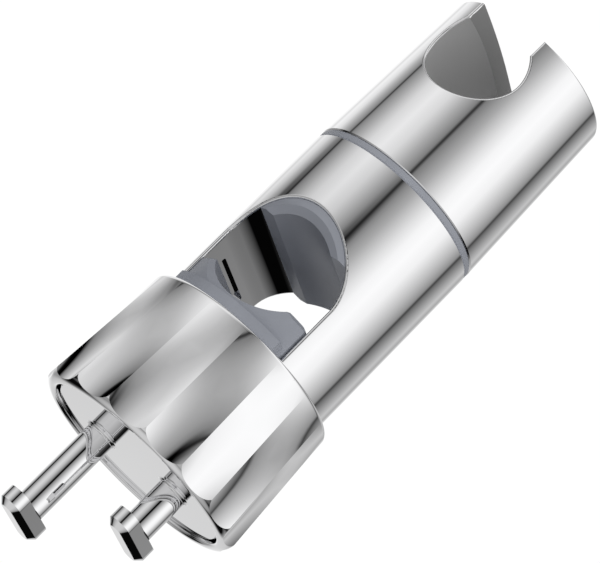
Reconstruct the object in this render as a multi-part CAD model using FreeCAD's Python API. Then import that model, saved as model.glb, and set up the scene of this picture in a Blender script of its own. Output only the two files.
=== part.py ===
import FreeCAD, Part
import math
import os

V = FreeCAD.Vector

# Shower rail slider. X runs along the body towards the handset holder, Z up along
# the rail. The origin is on the rail's axis, half way up the body. Sizes are in mm.

# Rail and the pads that grip it
RAIL_R = 12.5
PAD_T = 3.1
PAD_BEVEL = 1.4
PAD_CUT_BACK = 2.7
PAD_SUNK = 0.6
PAD_SEAT_GAP = 0.05
PEG_R = 2.0
PEG_L = 3.2
PEG_INSET = 8.0

# Body and its rail slot
SLOT_ROOM = 1.6
CHEEK_T = 5.9
SLOT_EDGE = 0.5
NOSE_L = 14.7
END_BREAK = 0.25
RECESS_X = 0.0
RECESS_H = 15.2
RECESS_D = 1.0
RECESS_CORNER = 0.6

# Moving jaw
JAW_OVERRUN = 3.7
JAW_TIP_L = 4.95
JAW_TIP_R = 1.2
JAW_TIP_BEVEL = 0.75
JAW_BEVEL_W = 1.7
JAW_BEVEL_D = 0.4
JAW_CLEAR = 0.3
JAW_NECK = 1.1
FLANGE_T = 2.25
FLANGE_PROUD = 1.2
FLANGE_INSET = 0.9
BLOCK_L = 12.6
BLOCK_WALL = 2.2
BLOCK_SHRINK = 0.4
LUG_H = 1.0
LUG_L = 4.0
LUG_SET_BACK = 3.2
LUG_GAP = 0.3

# Knob
JAW_TRAVEL = 6.0
KNOB_L = 29.65
KNOB_GAP = 0.1
KNOB_RUN = 0.3
THREAD_L = 18.7
FLUTES = 16
FLUTE_R = 15.5
RIDGE_WALL = 4.1
TOP_WALL = 2.2
TOP_R = 0.95
SKIN_ROOM = 0.04
RIM_R = 2.4
MOUTH_GAP = 0.36
MOUTH_EDGE = 0.7

# End plate with its two T posts
PLATE_PROUD = 0.74
PLATE_T = 2.5
PLATE_SUNK = 0.9
PLATE_EDGE = 0.3
SPIGOT_T = 5.4
SPIGOT_CLEAR = 0.15
POST_R = 3.2
POST_ROOT = 0.8
POST_Y = 10.0
SHORT_POST_L = 9.9
LONG_POST_L = 19.9
TEE_SPAN = 10.3
TEE_R = 2.6
TEE_SIDE = 2.8
TEE_BEVEL = 1.2

# Screws that hold the end plate, hidden under the knob
PLATE_SCREW_R = 1.5
PLATE_SCREW_L = 9.0
PLATE_SCREW_HEAD_R = 2.7
PLATE_SCREW_HEAD_T = 1.8
PLATE_SCREW_Z = 7.0
PLATE_SCREW_SUNK = 2.2
SCREW_CLEAR = 0.25
THREAD_FIT = 0.03

# Swivel between body and holder
HUB_INSET = 8.05
HUB_L = 8.2
HUB_RUN = 0.08
BUSH_T = 2.0
BUSH_L = 5.6
WEB_T = 3.0
RING_T = 1.4
RING_INSET = 0.12
RING_BREAK = 0.15
SWIVEL_GAP = 0.1
PIVOT_R = 3.0
PIVOT_L = 17.4
PIVOT_HEAD_R = 5.0
PIVOT_HEAD_T = 2.6
SOCKET_AF = 4.0
SOCKET_D = 1.6
WASHER_R = 5.8
WASHER_T = 0.8
DISC_T = 0.5
DISC_RISE = 0.2
SINK_CLEAR = 0.5
INSERT_R = 4.5
INSERT_L = 11.0
INSERT_SET_BACK = 0.8

# Handset holder
HOLDER_L = 39.35
HOLDER_INSET = 0.05
HOLDER_DRAFT = 1.14
HOLE_TO_END = 10.75
HOLE_R = 9.55
HOLE_TAPER = 0.0404
HOSE_HALF = 6.1
FLARE_Z = -6.0
FLARE_R = 140.0
HOLDER_EDGE = 0.45
CORE_HUB_WALL = 1.65
CORE_WALL = 2.4
CORE_DEPTH = 12.0
CORE_RIB = 2.2
CORE_RIBS = 4

# Places and fits worked out from the sizes
SLOT_R = RAIL_R + SLOT_ROOM
BODY_R = SLOT_R + CHEEK_T
PAD_R = BODY_R - PAD_SUNK
PAD_TIP_X = RAIL_R - PAD_CUT_BACK
PEG_Z = BODY_R - PEG_INSET
SLOT_X = RAIL_R + PAD_T - SLOT_R
APEX_X = SLOT_X + SLOT_R
NOSE_X = APEX_X + NOSE_L
JAW_FRONT_X = JAW_OVERRUN - RAIL_R - JAW_NECK
FLANGE_R = BODY_R + FLANGE_PROUD
FLANGE_Y = SLOT_R - FLANGE_INSET
FLANGE_BACK_X = JAW_FRONT_X - FLANGE_T
HUB_R = BODY_R - HUB_INSET
HOLDER_R = BODY_R - HOLDER_INSET
HOLDER_END_R = HOLDER_R - HOLDER_DRAFT
CORE_IN_R = HUB_R + CORE_HUB_WALL
PLATE_R = BODY_R + PLATE_PROUD
KNOB_TOP_X = FLANGE_BACK_X - KNOB_GAP
RIM_X = KNOB_TOP_X - KNOB_L
PLATE_X = RIM_X + PLATE_SUNK
TAIL_X = PLATE_X + PLATE_T
SHOULDER_X = NOSE_X + RING_T + SWIVEL_GAP
HOLDER_END_X = SHOULDER_X + HOLDER_L
HOLE_X = HOLDER_END_X - HOLE_TO_END
HUB_END_X = SHOULDER_X - HUB_L
BUSH_R = HUB_R + HUB_RUN + BUSH_T
CAVITY_X = HUB_END_X - 4 * SWIVEL_GAP
SEAT_X = CAVITY_X - WEB_T
DISC_X = SEAT_X - SWIVEL_GAP - DISC_T - DISC_RISE
WASHER_X = DISC_X - WASHER_T
PIVOT_HEAD_X = WASHER_X - PIVOT_HEAD_T
BLOCK_BACK_X = FLANGE_BACK_X - BLOCK_L
KNOB_BORE_R = BODY_R + KNOB_RUN
RIDGE_R = KNOB_BORE_R + RIDGE_WALL
TOP_SKIN_R = KNOB_BORE_R + TOP_WALL
TOP_CIRCLE_X = KNOB_TOP_X - TOP_R
MOUTH_R = PLATE_R + MOUTH_GAP
BORE_END_X = KNOB_TOP_X - THREAD_L
PLATE_SCREW_X = TAIL_X + SPIGOT_T / 2
FAR = 3 * BODY_R


def along_x(radius, x0, x1, y=0.0, z=0.0):
    return Part.makeCylinder(radius, x1 - x0, V(x0, y, z), V(1, 0, 0))


def along_y(radius, y0, y1, x, z):
    return Part.makeCylinder(radius, y1 - y0, V(x, y0, z), V(0, 1, 0))


def upright(radius, x, y=0.0):
    return Part.makeCylinder(radius, 2 * FAR, V(x, y, -FAR), V(0, 0, 1))


def block(x0, x1, y0, y1, z0, z1):
    return Part.makeBox(x1 - x0, y1 - y0, z1 - z0, V(x0, y0, z0))


def turned(edges):
    """Turn a closed outline of edges, drawn in the XZ plane, about the X axis."""
    face = Part.Face(Part.Wire(edges))
    return face.revolve(V(0, 0, 0), V(1, 0, 0), 360)


def outline(points):
    corners = [V(x, 0, r) for x, r in points]
    return Part.makePolygon(corners + corners[:1]).Edges


def line(a, b):
    return Part.LineSegment(V(a[0], 0, a[1]), V(b[0], 0, b[1])).toShape()


def arc(centre, radius, start, end):
    """Arc in the XZ plane from one angle to another, in degrees from +X."""
    points = []
    for angle in (start, (start + end) / 2, end):
        turn = math.radians(angle)
        points.append(V(centre[0] + radius * math.cos(turn), 0, centre[1] + radius * math.sin(turn)))
    return Part.Arc(*points).toShape()


def far_from_axis(edge):
    """Greatest distance of an edge from the X axis."""
    points = edge.discretize(9)
    return max(math.hypot(p.y, p.z) for p in points)


def near_to_axis(edge):
    points = edge.discretize(9)
    return min(math.hypot(p.y, p.z) for p in points)


def slot_void(radius):
    """The U of the rail slot: a round end about SLOT_X, open towards the knob."""
    sides = block(TAIL_X - FAR, SLOT_X, -radius, radius, -FAR, FAR)
    return upright(radius, SLOT_X).fuse(sides)


def with_saddle(pad, x, width, depth):
    """Cut the rail's cylinder about x into a pad and bevel the cut's top and bottom edges."""
    pad = pad.cut(upright(RAIL_R, x))
    rims = []
    for edge in pad.Edges:
        on_saddle = all(abs(math.hypot(p.x - x, p.y) - RAIL_R) < 0.01 for p in edge.discretize(7))
        if on_saddle and edge.BoundBox.YLength > 1:
            rims.append(edge)
    return pad.makeChamfer(width, depth, rims)


def make_body():
    body = along_x(BODY_R, TAIL_X, NOSE_X)
    body = body.cut(slot_void(SLOT_R))
    rim = [e for e in body.Edges if near_to_axis(e) > BODY_R - 0.01 and e.BoundBox.XMax < NOSE_X - 1
           and e.BoundBox.XLength > 1]
    body = body.makeFillet(SLOT_EDGE, rim)
    nose = [e for e in body.Edges if e.BoundBox.XMin > NOSE_X - 0.01]
    body = body.makeChamfer(END_BREAK, nose)
    body = body.cut(along_x(BUSH_R + PAD_SEAT_GAP, CAVITY_X, NOSE_X + 1))
    body = body.cut(along_x(PIVOT_R + SCREW_CLEAR, APEX_X - 2, CAVITY_X + 1))
    body = body.cut(along_x(WASHER_R + SINK_CLEAR, SLOT_X, SEAT_X))
    for z in (PEG_Z, -PEG_Z):
        body = body.cut(along_x(PEG_R + PAD_SEAT_GAP, SLOT_X, APEX_X + PEG_L + SINK_CLEAR, z=z))
    recess_y = SLOT_R + RECESS_D
    recess_back = RECESS_X - LUG_SET_BACK - LUG_L - JAW_TRAVEL - LUG_GAP
    recess = block(recess_back, RECESS_X, -recess_y, recess_y, -RECESS_H / 2, RECESS_H / 2)
    corners = [e for e in recess.Edges if e.BoundBox.XMin > RECESS_X - 0.01 and e.BoundBox.YLength > 1]
    body = body.cut(recess.makeFillet(RECESS_CORNER, corners))
    for shank, hole in plate_screw_lines(SCREW_CLEAR):
        body = body.cut(shank).cut(hole)
    return body


def plate_screw_lines(gap):
    """Each plate screw as a shank and a head cylinder, both wider by gap."""
    head_y = math.sqrt(BODY_R ** 2 - PLATE_SCREW_Z ** 2) - PLATE_SCREW_SUNK
    lines = []
    for side in (1, -1):
        for z in (PLATE_SCREW_Z, -PLATE_SCREW_Z):
            seat = side * (head_y - PLATE_SCREW_HEAD_T)
            tip = seat - side * PLATE_SCREW_L
            out = side * (head_y if gap == 0 else FAR)
            shank = along_y(PLATE_SCREW_R + gap, min(seat, tip), max(seat, tip), PLATE_SCREW_X, z)
            head = along_y(PLATE_SCREW_HEAD_R + gap, min(seat, out), max(seat, out), PLATE_SCREW_X, z)
            lines.append((shank, head))
    return lines


def make_fixed_jaw():
    """Grey pad that lines the slot's round end and presses on the rail."""
    pad = upright(SLOT_R - PAD_SEAT_GAP, SLOT_X)
    pad = pad.common(block(PAD_TIP_X, FAR, -FAR, FAR, -FAR, FAR))
    pad = pad.common(along_x(PAD_R, -FAR, FAR))
    pad = with_saddle(pad, 0.0, PAD_BEVEL, PAD_BEVEL)
    for z in (PEG_Z, -PEG_Z):
        pad = pad.fuse(along_x(PEG_R, APEX_X - PAD_T / 2, APEX_X + PEG_L, z=z))
    return pad.removeSplitter()


def make_moving_jaw():
    """Grey jaw: saddle, flange that the knob pushes, and a cored block between the cheeks."""
    half = SLOT_R - JAW_CLEAR
    tip_x = JAW_OVERRUN - RAIL_R + JAW_TIP_L
    saddle = turned(outline([(JAW_FRONT_X - 1, 0), (JAW_FRONT_X - 1, PAD_R), (tip_x - JAW_TIP_BEVEL, PAD_R),
                             (tip_x, PAD_R - JAW_TIP_BEVEL), (tip_x, 0)]))
    saddle = saddle.common(block(-FAR, FAR, -half, half, -FAR, FAR))
    tips = [e for e in saddle.Edges if e.BoundBox.XMin > tip_x - 0.01 and e.BoundBox.YLength < 0.01]
    saddle = saddle.makeFillet(JAW_TIP_R, tips)
    saddle = with_saddle(saddle, JAW_OVERRUN, JAW_BEVEL_W, JAW_BEVEL_D)
    flange = along_x(FLANGE_R, FLANGE_BACK_X, JAW_FRONT_X)
    flange = flange.common(block(-FAR, FAR, -FLANGE_Y, FLANGE_Y, -FAR, FAR))
    rear = along_x(BODY_R - BLOCK_SHRINK, BLOCK_BACK_X, JAW_FRONT_X - 1)
    rear = rear.common(block(-FAR, FAR, -half, half, -FAR, FAR))
    cored = along_x(BODY_R - BLOCK_SHRINK - BLOCK_WALL, BLOCK_BACK_X - 1, FLANGE_BACK_X)
    inner = half - BLOCK_WALL
    web = BLOCK_WALL / 2
    for y0, y1 in ((-inner, -web), (web, inner)):
        for z0, z1 in ((-FAR, -web), (web, FAR)):
            rear = rear.cut(cored.common(block(BLOCK_BACK_X - 1, FLANGE_BACK_X, y0, y1, z0, z1)))
    lug_x = RECESS_X - LUG_SET_BACK
    lug_z = RECESS_H / 2 - LUG_GAP
    lugs = []
    for side in (1, -1):
        corners = [(lug_x, side * half), (lug_x - LUG_H, side * (half + LUG_H)),
                   (lug_x - LUG_L, side * (half + LUG_H)), (lug_x - LUG_L, side * (half - web)),
                   (lug_x - LUG_H, side * (half - web))]
        points = [V(x, y, -lug_z) for x, y in corners]
        lugs.append(Part.Face(Part.makePolygon(points + points[:1])).extrude(V(0, 0, 2 * lug_z)))
    return saddle.fuse([flange, rear] + lugs).removeSplitter()


def ring_of_arcs(x, radius, sag):
    """Closed wire of equal arcs round the X axis, each bent inwards by sag from its chord."""
    points = []
    for k in range(2 * FLUTES):
        turn = math.pi * k / FLUTES
        reach = radius if k % 2 == 0 else radius * math.cos(math.pi / FLUTES) - sag
        points.append(V(x, reach * math.sin(turn), reach * math.cos(turn)))
    arcs = []
    for k in range(FLUTES):
        arcs.append(Part.Arc(points[2 * k], points[2 * k + 1], points[(2 * k + 2) % len(points)]).toShape())
    return Part.Wire(arcs)


def make_knob():
    """Ring nut whose hollow flutes run out into a plain circle at its top."""
    half_chord = RIDGE_R * math.sin(math.pi / FLUTES)
    sag = FLUTE_R - math.sqrt(FLUTE_R ** 2 - half_chord ** 2)
    bulge = TOP_SKIN_R * (math.cos(math.pi / FLUTES) - 1)
    rim_wire = ring_of_arcs(RIM_X, RIDGE_R, sag)
    top_wire = ring_of_arcs(TOP_CIRCLE_X, TOP_SKIN_R, bulge)
    fluted = Part.makeLoft([rim_wire, top_wire], True, True)
    slope = (TOP_SKIN_R - RIDGE_R) / (TOP_CIRCLE_X - RIM_X)
    tilt = math.atan(-slope)
    rim_c = (RIM_X + RIM_R, RIDGE_R + slope * RIM_R + SKIN_ROOM - RIM_R / math.cos(tilt))
    rim_top = (rim_c[0] + RIM_R * math.sin(tilt), rim_c[1] + RIM_R * math.cos(tilt))
    far_end = (TOP_CIRCLE_X + 1, rim_top[1] + slope * (TOP_CIRCLE_X + 1 - rim_top[0]))
    envelope = turned([
        line((RIM_X, 0), (RIM_X, rim_c[1])),
        arc(rim_c, RIM_R, 90 - math.degrees(tilt), 180),
        line(rim_top, far_end),
        line(far_end, (far_end[0], 0)),
        line((far_end[0], 0), (RIM_X, 0)),
    ])
    knob = fluted.common(envelope)
    shoulder = turned([
        line((TOP_CIRCLE_X, 0), (TOP_CIRCLE_X, TOP_SKIN_R)),
        arc((TOP_CIRCLE_X, TOP_SKIN_R - TOP_R), TOP_R, 0, 90),
        line((KNOB_TOP_X, TOP_SKIN_R - TOP_R), (KNOB_TOP_X, 0)),
        line((KNOB_TOP_X, 0), (TOP_CIRCLE_X, 0)),
    ])
    knob = knob.fuse(shoulder)
    lip_c = (RIM_X + MOUTH_EDGE, MOUTH_R + MOUTH_EDGE)
    mouth = turned([
        line((RIM_X, 0), (RIM_X, lip_c[1])),
        arc(lip_c, MOUTH_EDGE, 180, 270),
        line((lip_c[0], MOUTH_R), (BORE_END_X, MOUTH_R)),
        line((BORE_END_X, MOUTH_R), (BORE_END_X, 0)),
        line((BORE_END_X, 0), (RIM_X, 0)),
    ])
    return knob.cut(mouth).cut(along_x(KNOB_BORE_R, BORE_END_X - 1, KNOB_TOP_X + 1))


def make_post(y, length):
    """One T post: a shank with a rounded root and a bevelled head across its end."""
    root = PLATE_X + PLATE_EDGE
    shank = along_x(POST_R, PLATE_X - length, root, y=y)
    flare = turned([
        line((PLATE_X - POST_ROOT, 0), (PLATE_X - POST_ROOT, POST_R)),
        arc((PLATE_X - POST_ROOT, POST_R + POST_ROOT), POST_ROOT, -90, 0),
        line((PLATE_X, POST_R + POST_ROOT), (root, POST_R + POST_ROOT)),
        line((root, POST_R + POST_ROOT), (root, 0)),
        line((root, 0), (PLATE_X - POST_ROOT, 0)),
    ])
    flare.translate(V(0, y, 0))
    back = PLATE_X - length
    side = back - TEE_SIDE
    half = TEE_SPAN / 2
    tee = block(side, back, y - TEE_R, y + TEE_R, -half, half)
    nose = tapered_bar(side, side - TEE_BEVEL, TEE_R, TEE_R - TEE_BEVEL, half, y)
    for z in (half, -half):
        tee = tee.fuse(along_x(TEE_R, side, back, y=y, z=z))
    return shank.fuse([flare, tee, nose]).removeSplitter()


def tapered_bar(x0, x1, r0, r1, half, y):
    """Round-ended bar along Z that narrows from r0 at x0 to r1 at x1."""
    wires = []
    for x, r in ((x0, r0), (x1, r1)):
        top = Part.Arc(V(x, y - r, half), V(x, y, half + r), V(x, y + r, half)).toShape()
        low = Part.Arc(V(x, y + r, -half), V(x, y, -half - r), V(x, y - r, -half)).toShape()
        right = Part.LineSegment(V(x, y + r, half), V(x, y + r, -half)).toShape()
        left = Part.LineSegment(V(x, y - r, -half), V(x, y - r, half)).toShape()
        wires.append(Part.Wire([top, right, low, left]))
    return Part.makeLoft(wires, True, True)


def make_end_plate():
    """Cap that closes the body's tail, with a spigot between the cheeks and two T posts."""
    plate = turned(outline([(PLATE_X, 0), (PLATE_X, PLATE_R - PLATE_EDGE), (PLATE_X + PLATE_EDGE, PLATE_R),
                            (TAIL_X, PLATE_R), (TAIL_X, 0)]))
    half = SLOT_R - SPIGOT_CLEAR
    spigot = along_x(BODY_R - BLOCK_SHRINK, TAIL_X, TAIL_X + SPIGOT_T)
    spigot = spigot.common(block(-FAR, FAR, -half, half, -FAR, FAR))
    for shank, _ in plate_screw_lines(THREAD_FIT):
        spigot = spigot.cut(shank)
    plate = plate.fuse(spigot)
    plate = plate.fuse([make_post(POST_Y, LONG_POST_L), make_post(-POST_Y, SHORT_POST_L)])
    return plate.removeSplitter()


def make_plate_screws():
    screws = []
    for shank, head in plate_screw_lines(0):
        screws.append(shank.fuse(head).removeSplitter())
    return Part.makeCompound(screws)


def make_friction_ring():
    """Flat grey ring between the body's end and the holder's shoulder."""
    outer = BODY_R - RING_INSET
    inner = HUB_R + HUB_RUN + PAD_SEAT_GAP
    x0 = NOSE_X
    x1 = NOSE_X + RING_T
    return turned(outline([(x0, inner), (x0, outer - RING_BREAK), (x0 + RING_BREAK, outer),
                           (x1 - RING_BREAK, outer), (x1, outer - RING_BREAK), (x1, inner)]))


def make_hub_bush():
    """Plastic bearing bush that is pressed into the body and carries the holder's hub."""
    bush = along_x(BUSH_R, NOSE_X - BUSH_L, NOSE_X)
    return bush.cut(along_x(HUB_R + HUB_RUN, NOSE_X - BUSH_L - 1, NOSE_X + 1))


def make_holder():
    """Conical handset cup, open to the front for the hose, with the hub it turns on."""
    holder = turned(outline([(SHOULDER_X, 0), (SHOULDER_X, HOLDER_R - END_BREAK),
                             (SHOULDER_X + END_BREAK, HOLDER_R), (HOLDER_END_X, HOLDER_END_R),
                             (HOLDER_END_X, 0)]))
    low = V(HOLE_X, 0, -FAR)
    cup = Part.makeCone(HOLE_R - HOLE_TAPER * FAR, HOLE_R + HOLE_TAPER * FAR, 2 * FAR, low, V(0, 0, 1))
    past = HOLDER_END_X + 1
    slot = block(HOLE_X, past, -HOSE_HALF, HOSE_HALF, -FAR, FAR)
    opening = block(HOLE_X, past, -HOSE_HALF - HOLE_R, HOSE_HALF + HOLE_R, FLARE_Z, FAR)
    for side in (1, -1):
        flare_y = side * (HOSE_HALF + FLARE_R)
        opening = opening.cut(along_x(FLARE_R, HOLE_X - 1, past + 1, y=flare_y, z=FLARE_Z))
    holder = holder.cut(cup).cut(slot.fuse(opening))
    skin = [e for e in holder.Edges if near_to_axis(e) > HOLDER_END_R - 0.5
            and e.BoundBox.XMin > SHOULDER_X + 1 and far_from_axis(e) > HOLDER_END_R - 0.01]
    holder = holder.makeFillet(HOLDER_EDGE, skin)
    core = along_x(HOLDER_R - CORE_WALL, SHOULDER_X - 1, SHOULDER_X + CORE_DEPTH)
    core = core.cut(along_x(CORE_IN_R, SHOULDER_X - 2, SHOULDER_X + CORE_DEPTH + 1))
    for k in range(CORE_RIBS):
        rib = block(SHOULDER_X - 2, SHOULDER_X + CORE_DEPTH + 1, 0, FAR, -CORE_RIB / 2, CORE_RIB / 2)
        rib.rotate(V(0, 0, 0), V(1, 0, 0), 360.0 / CORE_RIBS * (k + 0.5))
        core = core.cut(rib)
    holder = holder.cut(core)
    holder = holder.fuse(along_x(HUB_R, HUB_END_X, SHOULDER_X + 1))
    insert_x = HUB_END_X + INSERT_SET_BACK
    holder = holder.cut(along_x(INSERT_R + THREAD_FIT, HUB_END_X - 1, insert_x + INSERT_L))
    drill_end = PIVOT_HEAD_X + PIVOT_HEAD_T + PIVOT_L + SINK_CLEAR
    holder = holder.cut(along_x(PIVOT_R + SCREW_CLEAR, insert_x, drill_end))
    return holder.removeSplitter()


def make_hub_insert():
    """Brass threaded insert in the holder's hub."""
    x0 = HUB_END_X + INSERT_SET_BACK
    insert = along_x(INSERT_R, x0, x0 + INSERT_L)
    return insert.cut(along_x(PIVOT_R + THREAD_FIT, x0 - 1, x0 + INSERT_L + 1))


def make_pivot_screw():
    neck = PIVOT_HEAD_X + PIVOT_HEAD_T
    screw = along_x(PIVOT_HEAD_R, PIVOT_HEAD_X, neck).fuse(along_x(PIVOT_R, neck, neck + PIVOT_L))
    corner = SOCKET_AF / math.sqrt(3)
    points = []
    for k in range(6):
        turn = math.radians(60 * k)
        points.append(V(PIVOT_HEAD_X, corner * math.cos(turn), corner * math.sin(turn)))
    socket = Part.Face(Part.makePolygon(points + points[:1])).extrude(V(SOCKET_D, 0, 0))
    return screw.cut(socket).removeSplitter()


def make_pivot_washer():
    washer = along_x(WASHER_R, WASHER_X, WASHER_X + WASHER_T)
    return washer.cut(along_x(PIVOT_R + SCREW_CLEAR, WASHER_X - 1, WASHER_X + WASHER_T + 1))


def make_disc_spring():
    """Dished spring that presses holder, ring and body together."""
    inner = PIVOT_R + SCREW_CLEAR
    return turned(outline([(DISC_X, inner), (DISC_X + DISC_RISE, WASHER_R),
                           (DISC_X + DISC_RISE + DISC_T, WASHER_R), (DISC_X + DISC_T, inner)]))


PIECES = {
    "body": make_body,
    "fixed_jaw": make_fixed_jaw,
    "moving_jaw": make_moving_jaw,
    "knob": make_knob,
    "end_plate": make_end_plate,
    "plate_screws": make_plate_screws,
    "friction_ring": make_friction_ring,
    "hub_bush": make_hub_bush,
    "holder": make_holder,
    "hub_insert": make_hub_insert,
    "pivot_screw": make_pivot_screw,
    "pivot_washer": make_pivot_washer,
    "disc_spring": make_disc_spring,
}

os.makedirs("parts", exist_ok=True)
for name, make in PIECES.items():
    shape = make()
    shape.exportStep(os.path.join("parts", name + ".step"))
    box = shape.BoundBox
    print(name, len(shape.Solids), shape.isValid(), round(shape.Volume, 1),
          [round(v, 2) for v in (box.XMin, box.XMax, box.YMin, box.YMax, box.ZMin, box.ZMax)])
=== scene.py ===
import math

import bpy
from mathutils import Matrix, Vector


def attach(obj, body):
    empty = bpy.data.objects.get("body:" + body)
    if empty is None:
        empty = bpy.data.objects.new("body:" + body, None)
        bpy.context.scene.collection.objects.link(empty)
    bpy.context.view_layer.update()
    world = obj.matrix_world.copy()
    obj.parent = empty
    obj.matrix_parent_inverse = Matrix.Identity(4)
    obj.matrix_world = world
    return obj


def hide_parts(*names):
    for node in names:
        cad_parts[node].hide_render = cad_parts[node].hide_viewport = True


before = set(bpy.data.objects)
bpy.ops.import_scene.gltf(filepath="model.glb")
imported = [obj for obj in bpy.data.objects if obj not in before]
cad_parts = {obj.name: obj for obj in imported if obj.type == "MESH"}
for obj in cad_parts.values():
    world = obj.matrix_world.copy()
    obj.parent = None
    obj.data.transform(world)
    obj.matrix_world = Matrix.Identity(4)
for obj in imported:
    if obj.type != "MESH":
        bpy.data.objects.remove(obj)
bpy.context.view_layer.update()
scene = bpy.context.scene


# Camera: the photograph's own view, worked back from the outlines of body, ring, knob and cup.
# It looks down past the posts along the body, from the side where the short post stands.
def look(right, down, forward, place_mm, lens):
    camera = bpy.data.objects.new("view_camera", bpy.data.cameras.new("view_camera"))
    scene.collection.objects.link(camera)
    axes = Matrix((right, [-d for d in down], [-f for f in forward])).transposed().to_4x4()
    camera.matrix_world = Matrix.Translation(Vector(place_mm) * 0.001) @ axes
    camera.data.sensor_fit = "HORIZONTAL"
    camera.data.sensor_width = 36.0
    camera.data.lens = lens
    camera.data.clip_start = 0.01
    camera.data.clip_end = 10.0
    scene.camera = camera


look(right=(0.679828, -0.705787, -0.199244), down=(-0.681822, -0.508209, -0.526158),
     forward=(0.270098, 0.493546, -0.826716), place_mm=(-150.80, -286.34, 484.37), lens=180.09)


# Studio: a pale sheet far below the slider, and long strip lights that run along the body.
# Chrome shows nothing but its surroundings, so each row of strips gives a brightness for each angle
# round the body, from -90 at one edge of the barrel to 90 at the other, as sRGB greys of 0 to 255.
BODY_ACROSS = (0.0, -0.8608, -0.5089)
BODY_ABOVE = (0.0, -0.5089, 0.8608)
SOFTBOX_WAY = (0.12, -0.646, 0.754)
LAMP_STRENGTH = 1.05
SHEET_STRENGTH = 1.02
SHEET_HALF = 3.0
SHEET_Z = -0.5

# The streaks on barrel and cup, then the black flags that darken the knob's flutes as well.
STREAKS = ((-90, 254), (-80, 248), (-76, 222), (-72, 244), (-66, 227), (-60, 176), (-55.2, 132),
           (-54, 20), (-52.6, 132), (-46, 173), (-38, 218), (-30, 236), (-22, 219), (-14, 172),
           (-7.6, 128), (-6, 0), (-4.2, 124), (4, 171), (14, 227), (20, 249), (26, 255), (34, 245),
           (42, 208), (53.0, 142), (54.6, 60), (57, 112), (64, 163), (71, 196), (77.4, 168),
           (84, 214), (90, 250))
KNOB_FLAGS = ((-90, 252), (-78, 245), (-66, 208), (-60, 188), (-57.8, 0), (-54.4, 0), (-52.4, 225),
              (-45, 243), (-30, 234), (-14, 220), (-11, 198), (-8.4, 0), (-4.4, 0), (-2.4, 240),
              (0, 255), (90, 255))

# The room that whatever leans towards the posts' end sees: pale ahead, with a black flag low on
# either side, and further round the same room with broader flags.
END_ROOM = ((-90, 210), (-83, 190), (-78, 150), (-66, 135), (-61, 90), (-58.5, 15), (-55, 25),
            (-51, 130), (-36, 190), (-20, 198), (0, 196), (28, 150), (40, 80), (45, 4), (61, 4),
            (64, 110), (72, 180), (80, 204), (90, 210))
END_FLAGS = ((-90, 205), (-86, 172), (-82, 112), (-78, 56), (-74, 6), (-63, 10), (-54, 120),
             (-42, 148), (-25, 138), (-12, 203), (0, 196), (28, 150), (42, 90), (47, 8), (77, 8),
             (80, 110), (83, 192), (90, 208))

# How far a reflection leans along the body, 1 to the cup and -1 to the posts, where one row of
# lights starts to give way to the next and where it has done so.
KNOB_LEAN = (0.33, 0.27)
ROOM_LEAN = (0.0, -0.2)
FLAG_LEAN = (-0.38, -0.48)
WALL_LEAN = (-0.66, -0.74)


def linear(code):
    channels = [int(code[i:i + 2], 16) / 255 for i in (0, 2, 4)]
    return [c / 12.92 if c <= 0.04045 else ((c + 0.055) / 1.055) ** 2.4 for c in channels] + [1.0]


def add(tree, kind, settings=(), **links):
    """Add a node, set its sockets and settings, and link i0, i1... or named sockets to sources."""
    node = tree.nodes.new(kind)
    for name, value in dict(settings).items():
        if isinstance(name, int) or name in node.inputs:
            node.inputs[name].default_value = value
        else:
            setattr(node, name, value)
    for name, source in links.items():
        key = int(name[1:]) if name[0] == "i" and name[1:].isdigit() else name.replace("_", " ")
        tree.links.new(source, node.inputs[key])
    return node


world = bpy.data.worlds.new("studio_strips")
scene.world = world
world.use_nodes = True
tree = world.node_tree
tree.nodes.clear()
ray = add(tree, "ShaderNodeTexCoord").outputs["Generated"]
across = add(tree, "ShaderNodeVectorMath", {"operation": "DOT_PRODUCT", 1: BODY_ACROSS}, i0=ray)
above = add(tree, "ShaderNodeVectorMath", {"operation": "DOT_PRODUCT", 1: BODY_ABOVE}, i0=ray)
turn = add(tree, "ShaderNodeMath", {"operation": "ARCTAN2"},
           i0=across.outputs["Value"], i1=above.outputs["Value"])
share = add(tree, "ShaderNodeMapRange", {"From Min": -math.pi, "From Max": math.pi},
            Value=turn.outputs[0])
along = add(tree, "ShaderNodeSeparateXYZ", (), Vector=ray).outputs["X"]


def strips(tones):
    """A row of strip lights side by side, by their angle round the body."""
    row = add(tree, "ShaderNodeValToRGB", (), Fac=share.outputs[0])
    stops = row.color_ramp.elements
    for _ in tones[2:]:
        stops.new(0.5)
    for k, (angle, tone) in enumerate(tones):
        stops[k].position = (angle + 90) / 180
        stops[k].color = linear("%02x%02x%02x" % (tone, tone, tone))
    return row.outputs["Color"]


def beyond(lean, nearer, farther, way="MIX"):
    """Go over from one row of lights to the next, between two leans along the body."""
    part = add(tree, "ShaderNodeMapRange", {"From Min": lean[0], "From Max": lean[1]}, Value=along)
    return add(tree, "ShaderNodeMix", {"data_type": "RGBA", "blend_type": way},
               i0=part.outputs[0], i6=nearer, i7=farther).outputs[2]


# A grey wall closes the room behind the posts, and grows paler straight behind them.
wall = add(tree, "ShaderNodeMapRange",
           {"From Min": -0.7, "From Max": -0.95, "To Min": 0.22, "To Max": 0.6}, Value=along)
seen = beyond(KNOB_LEAN, strips(STREAKS), strips(KNOB_FLAGS), "MULTIPLY")
seen = beyond(ROOM_LEAN, seen, strips(END_ROOM))
seen = beyond(FLAG_LEAN, seen, strips(END_FLAGS))
seen = beyond(WALL_LEAN, seen, wall.outputs[0])

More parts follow.
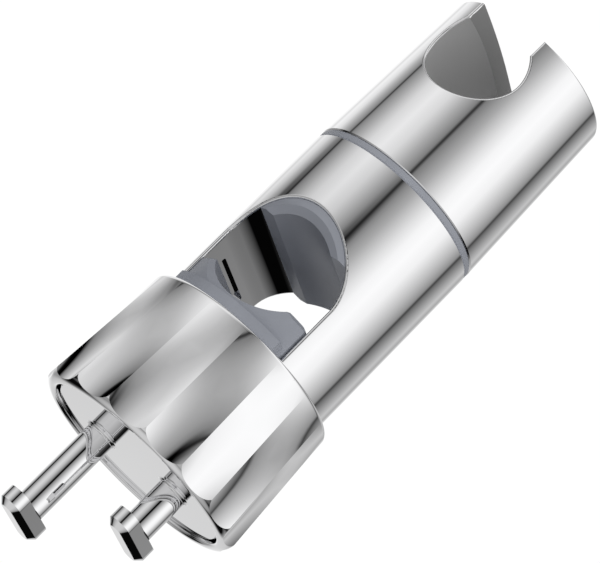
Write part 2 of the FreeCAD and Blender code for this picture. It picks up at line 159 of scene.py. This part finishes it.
# Matt pieces are lit by one broad soft box overhead, which fades towards both ends of the body.
overhead = add(tree, "ShaderNodeVectorMath", {"operation": "DOT_PRODUCT", 1: SOFTBOX_WAY}, i0=ray)
soft = add(tree, "ShaderNodeMapRange",
           {"From Min": -0.3, "From Max": 0.3, "To Min": 0.05, "To Max": 0.62},
           Value=overhead.outputs["Value"])
endwise = add(tree, "ShaderNodeMath", {"operation": "ABSOLUTE"}, i0=along)
fade = add(tree, "ShaderNodeMapRange",
           {"From Min": 0.2, "From Max": 0.9, "To Min": 1.25, "To Max": 0.25},
           Value=endwise.outputs[0])
softbox = add(tree, "ShaderNodeMath", {"operation": "MULTIPLY"},
              i0=soft.outputs[0], i1=fade.outputs[0])
matt = add(tree, "ShaderNodeLightPath").outputs["Is Diffuse Ray"]
cast = add(tree, "ShaderNodeMix", {"data_type": "RGBA"}, i0=matt, i6=seen, i7=softbox.outputs[0])
light = add(tree, "ShaderNodeBackground", {"Strength": LAMP_STRENGTH}, Color=cast.outputs[2])
add(tree, "ShaderNodeOutputWorld", (), Surface=light.outputs[0])
scene.view_settings.view_transform = "Standard"

sheet = bpy.data.meshes.new("pale_sheet")
corners = [(x * SHEET_HALF, y * SHEET_HALF, SHEET_Z) for x, y in ((-1, -1), (1, -1), (1, 1), (-1, 1))]
sheet.from_pydata(corners, [], [(0, 1, 2, 3)])
floor = bpy.data.objects.new("pale_sheet", sheet)
scene.collection.objects.link(floor)
paper = bpy.data.materials.new("lit_paper")
paper.use_nodes = True
paper.node_tree.nodes.clear()
glow = add(paper.node_tree, "ShaderNodeEmission",
           {"Color": linear("ffffff"), "Strength": SHEET_STRENGTH})
add(paper.node_tree, "ShaderNodeOutputMaterial", (), Surface=glow.outputs[0])
sheet.materials.append(paper)
floor.visible_glossy = False
floor.visible_diffuse = False


# Body: the barrel that everything sits in, moulded in ABS and plated with bright chrome over
# copper and nickel. The U slot for the rail goes right through it, and its rim is rounded, so
# that the plating has no sharp edge to peel from. The far cheek shows the moving jaw's guide.
BARREL_R = 20.0
SLOT_R = 14.1
SLOT_X = 1.5
SLOT_RIM = 0.5
NOSE_X = 30.3
X_AXIS = Vector((1.0, 0.0, 0.0))
Z_AXIS = Vector((0.0, 0.0, 1.0))
BEVEL_45 = 1.0
ON_FACE_MM = 0.004
ON_AXIS_MM = 0.01
ON_ROUNDED_EDGE_MM = 0.012
SETTLINGS = 3
HALVINGS = 14


def agree(leans, flat, least):
    """Point the leans out of the solid, or drop them where they don't fit the face."""
    if leans[0].dot(flat) < 0:
        leans = [-n for n in leans]
    return leans if min(n.dot(flat) for n in leans) > least else None


def turned(origin, axis, slope=0.0):
    """True shading of a cylinder, bore or cone about a line; slope is its gain in radius."""
    start = Vector(origin)

    def shade(points, flat):
        leans = []
        sizes = []
        for p in points:
            reach = (p - start).dot(axis)
            arm = p - start - axis * reach
            sizes.append(arm.length - slope * reach)
            leans.append((arm.normalized() - axis * slope).normalized())
        if max(sizes) - min(sizes) > ON_FACE_MM or min(sizes) < ON_AXIS_MM:
            return None
        return agree(leans, flat, least=0.96)
    return shade


def beaded(x, radius, ball, y=0.0):
    """True shading of a rounded rim: a ball carried round the line through y, at x and radius."""
    def shade(points, flat):
        leans = []
        for p in points:
            arm = Vector((0.0, p.y - y, p.z)).normalized()
            leans.append((p - Vector((x, y, 0.0)) - arm * radius) / ball)
        if max(abs(n.length - 1) for n in leans) * ball > ON_FACE_MM:
            return None
        return agree([n.normalized() for n in leans], flat, least=0.85)
    return shade


def rolled(ball, first, second):
    """True shading of an edge rounded by a rolling ball between two faces.

    Each face is a function that gives a point's depth below it and the way it faces there. The
    ball's centre lies one radius below both, and is found by halving the turn between their ways.
    """
    def shade(points, flat):
        leans = []
        for p in points:
            if first(p)[0] > ball or second(p)[0] > ball:
                return None
            centre = p - flat * ball
            for _ in range(SETTLINGS):
                one = first(centre)[1]
                two = second(centre)[1]
                low, high = 0.0, 1.0
                for _ in range(HALVINGS):
                    lean = one.slerp(two, (low + high) / 2)
                    if first(p - lean * ball)[0] > ball:
                        low = (low + high) / 2
                    else:
                        high = (low + high) / 2
                centre = p - lean * ball
            misses = abs(first(centre)[0] - ball), abs(second(centre)[0] - ball)
            if max(misses) > ON_ROUNDED_EDGE_MM:
                return None
            leans.append(lean)
        return agree(leans, flat, least=0.8)
    return shade


def barrel_skin(p):
    radius = math.hypot(p.y, p.z)
    return BARREL_R - radius, Vector((0.0, p.y, p.z)) / radius


def slot_wall(p):
    if p.x < SLOT_X:
        return abs(p.y) - SLOT_R, Vector((0.0, -math.copysign(1.0, p.y), 0.0))
    reach = math.hypot(p.x - SLOT_X, p.y)
    return reach - SLOT_R, Vector((SLOT_X - p.x, -p.y, 0.0)) / reach


def plated(node, shades, *surface_materials, which=None):
    """The node's own solid, mirror bright: each corner is shaded by the true face it lies on.

    Where there are several materials, which(middle, flat) tells which of them a face has.
    """
    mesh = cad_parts[node].data.copy()
    piece = bpy.data.objects.new(node + "_plated", mesh)
    scene.collection.objects.link(piece)
    mesh.materials.clear()
    for material in surface_materials:
        mesh.materials.append(material)
    where = [v.co * 1000 for v in mesh.vertices]
    leans = [None] * len(mesh.loops)
    for face in mesh.polygons:
        face.use_smooth = True
        points = [where[i] for i in face.vertices]
        flat = (points[1] - points[0]).cross(points[2] - points[0]).normalized()
        found = None
        for shade in shades:
            found = shade(points, flat)
            if found:
                break
        for loop, lean in zip(face.loop_indices, found or [flat] * len(points)):
            leans[loop] = lean
        face.material_index = which(sum(points, Vector()) / len(points), flat) if which else 0
    mesh.normals_split_custom_set(leans)
    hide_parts(node)
    return piece


def blank(name, sockets):
    """A new material: its tree, its shader with plain values set, and the place on the piece."""
    material = bpy.data.materials.new(name)
    material.use_nodes = True
    nodes = material.node_tree
    shader = nodes.nodes["Principled BSDF"]
    for socket, value in sockets.items():
        shader.inputs[socket].default_value = value
    return material, nodes, shader, add(nodes, "ShaderNodeTexCoord").outputs["Object"]


def roughen(nodes, shader, patches, smooth, rough, relief, depth, strength=1.0):
    """Patches spread the roughness from smooth to rough, and relief stands up by depth in metres."""
    gloss = add(nodes, "ShaderNodeMapRange", {"To Min": smooth, "To Max": rough}, Value=patches)
    lift = add(nodes, "ShaderNodeBump", {"Strength": strength, "Distance": depth}, Height=relief)
    nodes.links.new(gloss.outputs[0], shader.inputs["Roughness"])
    nodes.links.new(lift.outputs[0], shader.inputs["Normal"])


# Bright chrome on polished ABS: a mirror with next to no haze, in patches 5.6 mm wide, and the
# faint waviness that a moulded wall keeps, 4 mm wide and about a tenth of a degree steep.
HAZE_MM = 5.556
WAVE_MM = 4.0
WAVE_DEPTH = 1.0e-6


def chrome_and_painted_grey(name, colour, metal, haze, spread):
    material, nodes, shader, place = blank(name, {"Base Color": linear(colour), "Metallic": metal})
    smear = add(nodes, "ShaderNodeTexNoise", {"Scale": 1000 / HAZE_MM, "Detail": 3.0}, Vector=place)
    wave = add(nodes, "ShaderNodeTexNoise", {"Scale": 1000 / WAVE_MM, "Detail": 0.0}, Vector=place)
    roughen(nodes, shader, smear.outputs[0], haze, haze + spread, wave.outputs[0], WAVE_DEPTH)
    return material


bright = chrome_and_painted_grey("bright_chrome_plating", "f6f6f7", metal=1.0, haze=0.0, spread=0.008)
body = plated("body", [turned((0, 0, 0), X_AXIS), turned((SLOT_X, 0, 0), Z_AXIS),
                       rolled(SLOT_RIM, barrel_skin, slot_wall),
                       turned((NOSE_X, 0, 0), X_AXIS, -BEVEL_45)], bright)
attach(body, "root")


# Jaws and ring: acetal moulded in blue-grey. The ring's copy of it is painted a shade paler: painted
# light, for the brighter light the ring catches. The fixed jaw is pegged into the slot's round end,
# the moving jaw slides in the cheeks, and the ring is the swivel's brake, clamped between body and
# cup.

# A spark-eroded mould leaves acetal a fine matt skin, with a grain of a few hundredths of a
# millimetre that is drawn half a millimetre wide so that it shows. Its colour clouds over 8 mm.
CLOUD_MM = 8.333
GRAIN_MM = 0.5
GRAIN_DEPTH = 4.0e-7
GRAIN_SPREAD = 0.06
JAW_ROUGH = 0.42


def moulded(name, colours, rough, grain_mm, depth):
    material, nodes, shader, place = blank(name, {"IOR": 1.48})
    cloud = add(nodes, "ShaderNodeTexNoise", {"Scale": 1000 / CLOUD_MM, "Detail": 4.0}, Vector=place)
    tint = add(nodes, "ShaderNodeValToRGB", (), Fac=cloud.outputs[0])
    for stop, position, colour in zip(tint.color_ramp.elements, (0.3, 0.7), colours):
        stop.position = position
        stop.color = linear(colour)
    nodes.links.new(tint.outputs[0], shader.inputs["Base Color"])
    grain = add(nodes, "ShaderNodeTexNoise", {"Scale": 1000 / grain_mm, "Detail": 2.0}, Vector=place)
    roughen(nodes, shader, grain.outputs[0], rough - GRAIN_SPREAD, rough + GRAIN_SPREAD,
            grain.outputs[0], depth)
    return material


def dress(node, material):
    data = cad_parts[node].data
    data.materials.clear()
    data.materials.append(material)


acetal = moulded("blue_grey_acetal", ("adb1bb", "b5b9c3"), JAW_ROUGH, GRAIN_MM, GRAIN_DEPTH)
# painted light: the ring gets a paler copy of the jaws' acetal, for the brighter light it catches
acetal_painted_lighter = moulded("blue_grey_acetal_painted_lighter", ("b6bac4", "bec2cc"), JAW_ROUGH, GRAIN_MM, GRAIN_DEPTH)
dress("fixed_jaw", acetal)
dress("moving_jaw", acetal)
dress("friction_ring", acetal_painted_lighter)


# Knob: a ring nut of plated ABS that screws along the cheeks. Sixteen hollow flutes are full depth
# at the rim and run out into a plain circle at the top, so each one is a ruled face between an
# arc and a longer, hollow arc. The rim, its inner lip and the top are rounded over.
FLUTES = 16
FLUTE_R = 15.5
RIM_X = -41.9
RIM_BALL = 2.4
RIM_BALL_AWAY = 21.875
RIDGE_R = 24.4
MOUTH_R = 21.1
LIP_BALL = 0.7
TOP_X = -13.2
TOP_R = 22.5
TOP_BALL = 0.95
HALF = math.pi / FLUTES
FLUTE_AWAY = RIDGE_R * math.cos(HALF) + math.sqrt(FLUTE_R ** 2 - (RIDGE_R * math.sin(HALF)) ** 2)
FLUTE_HALF = math.asin(RIDGE_R * math.sin(HALF) / FLUTE_R)
ON_FLUTE_MM = 0.03
UNDER_SKIN_MM = 0.4
FLUTE_HALVINGS = 18


def flute_shade(points, flat):
    """True shading of a flute: each point is found on it by halving the way between two ridges."""
    middle = sum(points, Vector()) / len(points)
    deep = math.hypot(middle.y, middle.z) < TOP_R - UNDER_SKIN_MM
    if deep or not RIM_X < middle.x < TOP_X:
        return None
    facing = (math.floor(math.atan2(middle.y, middle.z) / (2 * HALF)) + 0.5) * 2 * HALF
    out = Vector((0.0, math.sin(facing), math.cos(facing)))
    side = Vector((0.0, math.cos(facing), -math.sin(facing)))
    leans = []
    for p in points:
        share = (p.x - RIM_X) / (TOP_X - RIM_X)
        aim = math.atan2(p.dot(side), p.dot(out))
        low, high = -1.0, 1.0
        for _ in range(FLUTE_HALVINGS):
            s = (low + high) / 2
            a, b = s * FLUTE_HALF, s * HALF
            hollow = Vector((FLUTE_AWAY - FLUTE_R * math.cos(a), FLUTE_R * math.sin(a)))
            plain = Vector((TOP_R * math.cos(b), TOP_R * math.sin(b)))
            u, w = hollow.lerp(plain, share)
            if math.atan2(w, u) < aim:
                low = s
            else:
                high = s
        if abs(math.hypot(u, w) - math.hypot(p.y, p.z)) > ON_FLUTE_MM:
            return None
        hollow_pace = (1 - share) * FLUTE_R * FLUTE_HALF
        plain_pace = share * TOP_R * HALF
        round_it = (out * (hollow_pace * math.sin(a) - plain_pace * math.sin(b))
                    + side * (hollow_pace * math.cos(a) + plain_pace * math.cos(b)))
        down_it = (X_AXIS * (TOP_X - RIM_X) + out * (plain.x - hollow.x)
                   + side * (plain.y - hollow.y))
        leans.append(round_it.cross(down_it).normalized())
    return agree(leans, flat, least=0.9)


knob = plated("knob", [beaded(RIM_X + RIM_BALL, RIM_BALL_AWAY, RIM_BALL),
                       beaded(RIM_X + LIP_BALL, MOUTH_R + LIP_BALL, LIP_BALL),
                       beaded(TOP_X, TOP_R - TOP_BALL, TOP_BALL),
                       turned((0, 0, 0), X_AXIS), flute_shade], bright)
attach(knob, "knob")


# End plate: a plated cap with two T posts moulded in one piece with it, for a dish to hook on. Each
# post has a rounded root and a bevelled T head, and the plate's own rim is broken at 45 degrees.
PLATE_X = -41.0
POST_Y = 10.0
POST_R = 3.2
POST_ROOT = 0.8
TEE_HALF = 5.15
plate_shades = [turned((0, 0, 0), X_AXIS), turned((PLATE_X, 0, 0), X_AXIS, BEVEL_45)]
for y in (POST_Y, -POST_Y):
    plate_shades += [turned((0, y, 0), X_AXIS),
                     beaded(PLATE_X - POST_ROOT, POST_R + POST_ROOT, POST_ROOT, y)]
    for z in (TEE_HALF, -TEE_HALF):
        plate_shades += [turned((0, y, z), X_AXIS), turned((0, y, z), X_AXIS, BEVEL_45)]
end_plate = plated("end_plate", plate_shades, bright)
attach(end_plate, "root")


# Cup: the handset holder, plated ABS again, a slow cone with a tapered hole for the handset and a
# slot for its hose. Its inner walls are drawn as dull greys, not mirrors: the hole's pale, and the
# slot's a darker grey that is painted shade in the narrow slot.
SHOULDER_X = 31.8
CUP_BREAK = 0.25
CUP_L = 39.35
CUP_DRAFT = 1.14
CUP_R = 19.95
CUP_EDGE = 0.45
HOLE_TO_END = 10.75
HOLE_R = 9.55
HOLE_SLOPE = 0.0404
HOSE_HALF = 6.1
FLARE_Z = -6.0
FLARE_R = 140.0
FLARE_OUT = 2.2
ON_WALL_MM = 0.4
FACES_END = 0.9
CONE_X = SHOULDER_X + CUP_BREAK
CUP_END_X = SHOULDER_X + CUP_L
CUP_SLOPE = -CUP_DRAFT / (CUP_L - CUP_BREAK)
HOLE_X = CUP_END_X - HOLE_TO_END


def cup_skin(p):
    radius = math.hypot(p.y, p.z)
    lean = Vector((-CUP_SLOPE, p.y / radius, p.z / radius)).normalized()
    return (CUP_R + CUP_SLOPE * (p.x - CONE_X) - radius) * math.cos(math.atan(CUP_SLOPE)), lean


def hole_wall(p):
    reach = math.hypot(p.x - HOLE_X, p.y)
    lean = Vector(((HOLE_X - p.x) / reach, -p.y / reach, HOLE_SLOPE)).normalized()
    return (reach - HOLE_R - HOLE_SLOPE * p.z) * math.cos(math.atan(HOLE_SLOPE)), lean


def hose_wall(p):
    side = math.copysign(1.0, p.y)
    if p.z < FLARE_Z:
        return abs(p.y) - HOSE_HALF, Vector((0.0, -side, 0.0))
    arm = Vector((0.0, p.y - side * (HOSE_HALF + FLARE_R), p.z - FLARE_Z))
    return FLARE_R - arm.length, arm.normalized()


def cup_end(p):
    return CUP_END_X - p.x, X_AXIS


def cup_material_by_face(middle, flat):
    """Which material a face of the cup has: 0 outside, 1 on the hole's wall, 2 the painted shade on
    the hose slot's.
    """
    if cup_skin(middle)[0] < CUP_EDGE or flat.x > FACES_END:
        return 0
    if abs(hole_wall(middle)[0]) < ON_WALL_MM:
        return 1
    return 2 if middle.x > HOLE_X and abs(middle.y) < HOSE_HALF + FLARE_OUT else 0


# painted shade: the slot's walls get a darker grey than the hole's, standing in for the shade in the
# narrow slot
hole_wall_grey = chrome_and_painted_grey("dull_pale_grey_in_the_hole", "d2d2d2", metal=0.1, haze=0.55, spread=0.1)
slot_wall_painted_shade = chrome_and_painted_grey("painted_shade_grey_in_the_slot", "a6a6a6", metal=0.3, haze=0.5, spread=0.1)
cup_shades = [turned((CONE_X, 0, 0), X_AXIS, CUP_SLOPE), turned((HOLE_X, 0, 0), Z_AXIS, HOLE_SLOPE),
              rolled(CUP_EDGE, cup_skin, hole_wall), rolled(CUP_EDGE, cup_skin, hose_wall),
              rolled(CUP_EDGE, cup_skin, cup_end), turned((0, 0, 0), X_AXIS),
              turned((0, HOSE_HALF + FLARE_R, FLARE_Z), X_AXIS),
              turned((0, -HOSE_HALF - FLARE_R, FLARE_Z), X_AXIS),
              turned((SHOULDER_X, 0, 0), X_AXIS, BEVEL_45)]
cup = plated("holder", cup_shades, bright, hole_wall_grey, slot_wall_painted_shade, which=cup_material_by_face)
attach(cup, "holder")


# Inside, never seen in the photograph: stainless screws, washer and disc spring, rolled and
# turned, a turned brass insert in the hub, and a bearing bush of natural white acetal. The lathe's
# marks are finer than can be seen, and are drawn 0.4 mm apart.
MARK_MM = 0.4
WAVE_SCALE_AT_1_MM = 314.0
MARK_DEPTH = 3.0e-6
MARK_SPREAD = 0.08


def machined(name, colour, rough):
    material, nodes, shader, place = blank(name, {"Base Color": linear(colour), "Metallic": 1.0})
    rings = add(nodes, "ShaderNodeTexWave",
                {"Scale": WAVE_SCALE_AT_1_MM / MARK_MM, "Distortion": 1.5, "Detail": 2.0},
                Vector=place).outputs["Fac"]
    roughen(nodes, shader, rings, rough - MARK_SPREAD, rough + MARK_SPREAD, rings, MARK_DEPTH,
            strength=0.6)
    return material


steel = machined("turned_stainless_steel", "c9c9c6", rough=0.3)
for node in ("plate_screws", "pivot_screw", "pivot_washer", "disc_spring"):
    dress(node, steel)
dress("hub_insert", machined("turned_brass", "d9b56a", rough=0.28))
dress("hub_bush", moulded("natural_white_acetal", ("dfdfda", "e9e9e4"), rough=0.4, grain_mm=0.35,
                          depth=3.0e-6))
